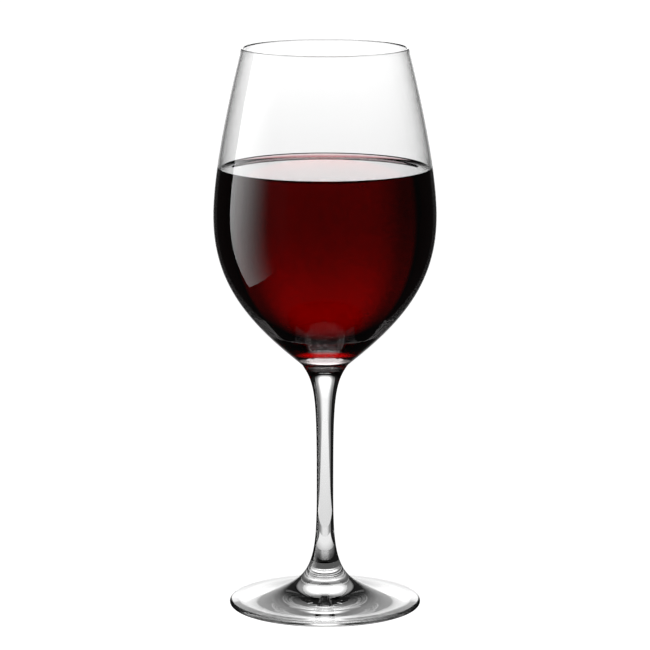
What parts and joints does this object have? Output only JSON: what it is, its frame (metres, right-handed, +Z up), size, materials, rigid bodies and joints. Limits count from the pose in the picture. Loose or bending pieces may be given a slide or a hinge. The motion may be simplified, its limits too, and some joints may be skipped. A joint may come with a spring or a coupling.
{
  "type": "glass of red wine",
  "caption": "Stemmed glass with a tulip bowl, a slender stem and a round foot, about half full of red wine; it stands on its foot.",
  "frame": {"origin": "middle of the foot's resting ring, on the surface that the glass stands on", "axes": "+Z up along the stem's axis; the glass is round about Z, so X and Y are alike"},
  "size_m": [0.0868, 0.0868, 0.22],
  "materials": {
    "clear_glass": "clear, polished",
    "red_wine": "dark clear liquid"
  },
  "bodies": {
    "root": {"wine_glass": "clear_glass", "red_wine": "red_wine"}
  },
  "joints": []
}
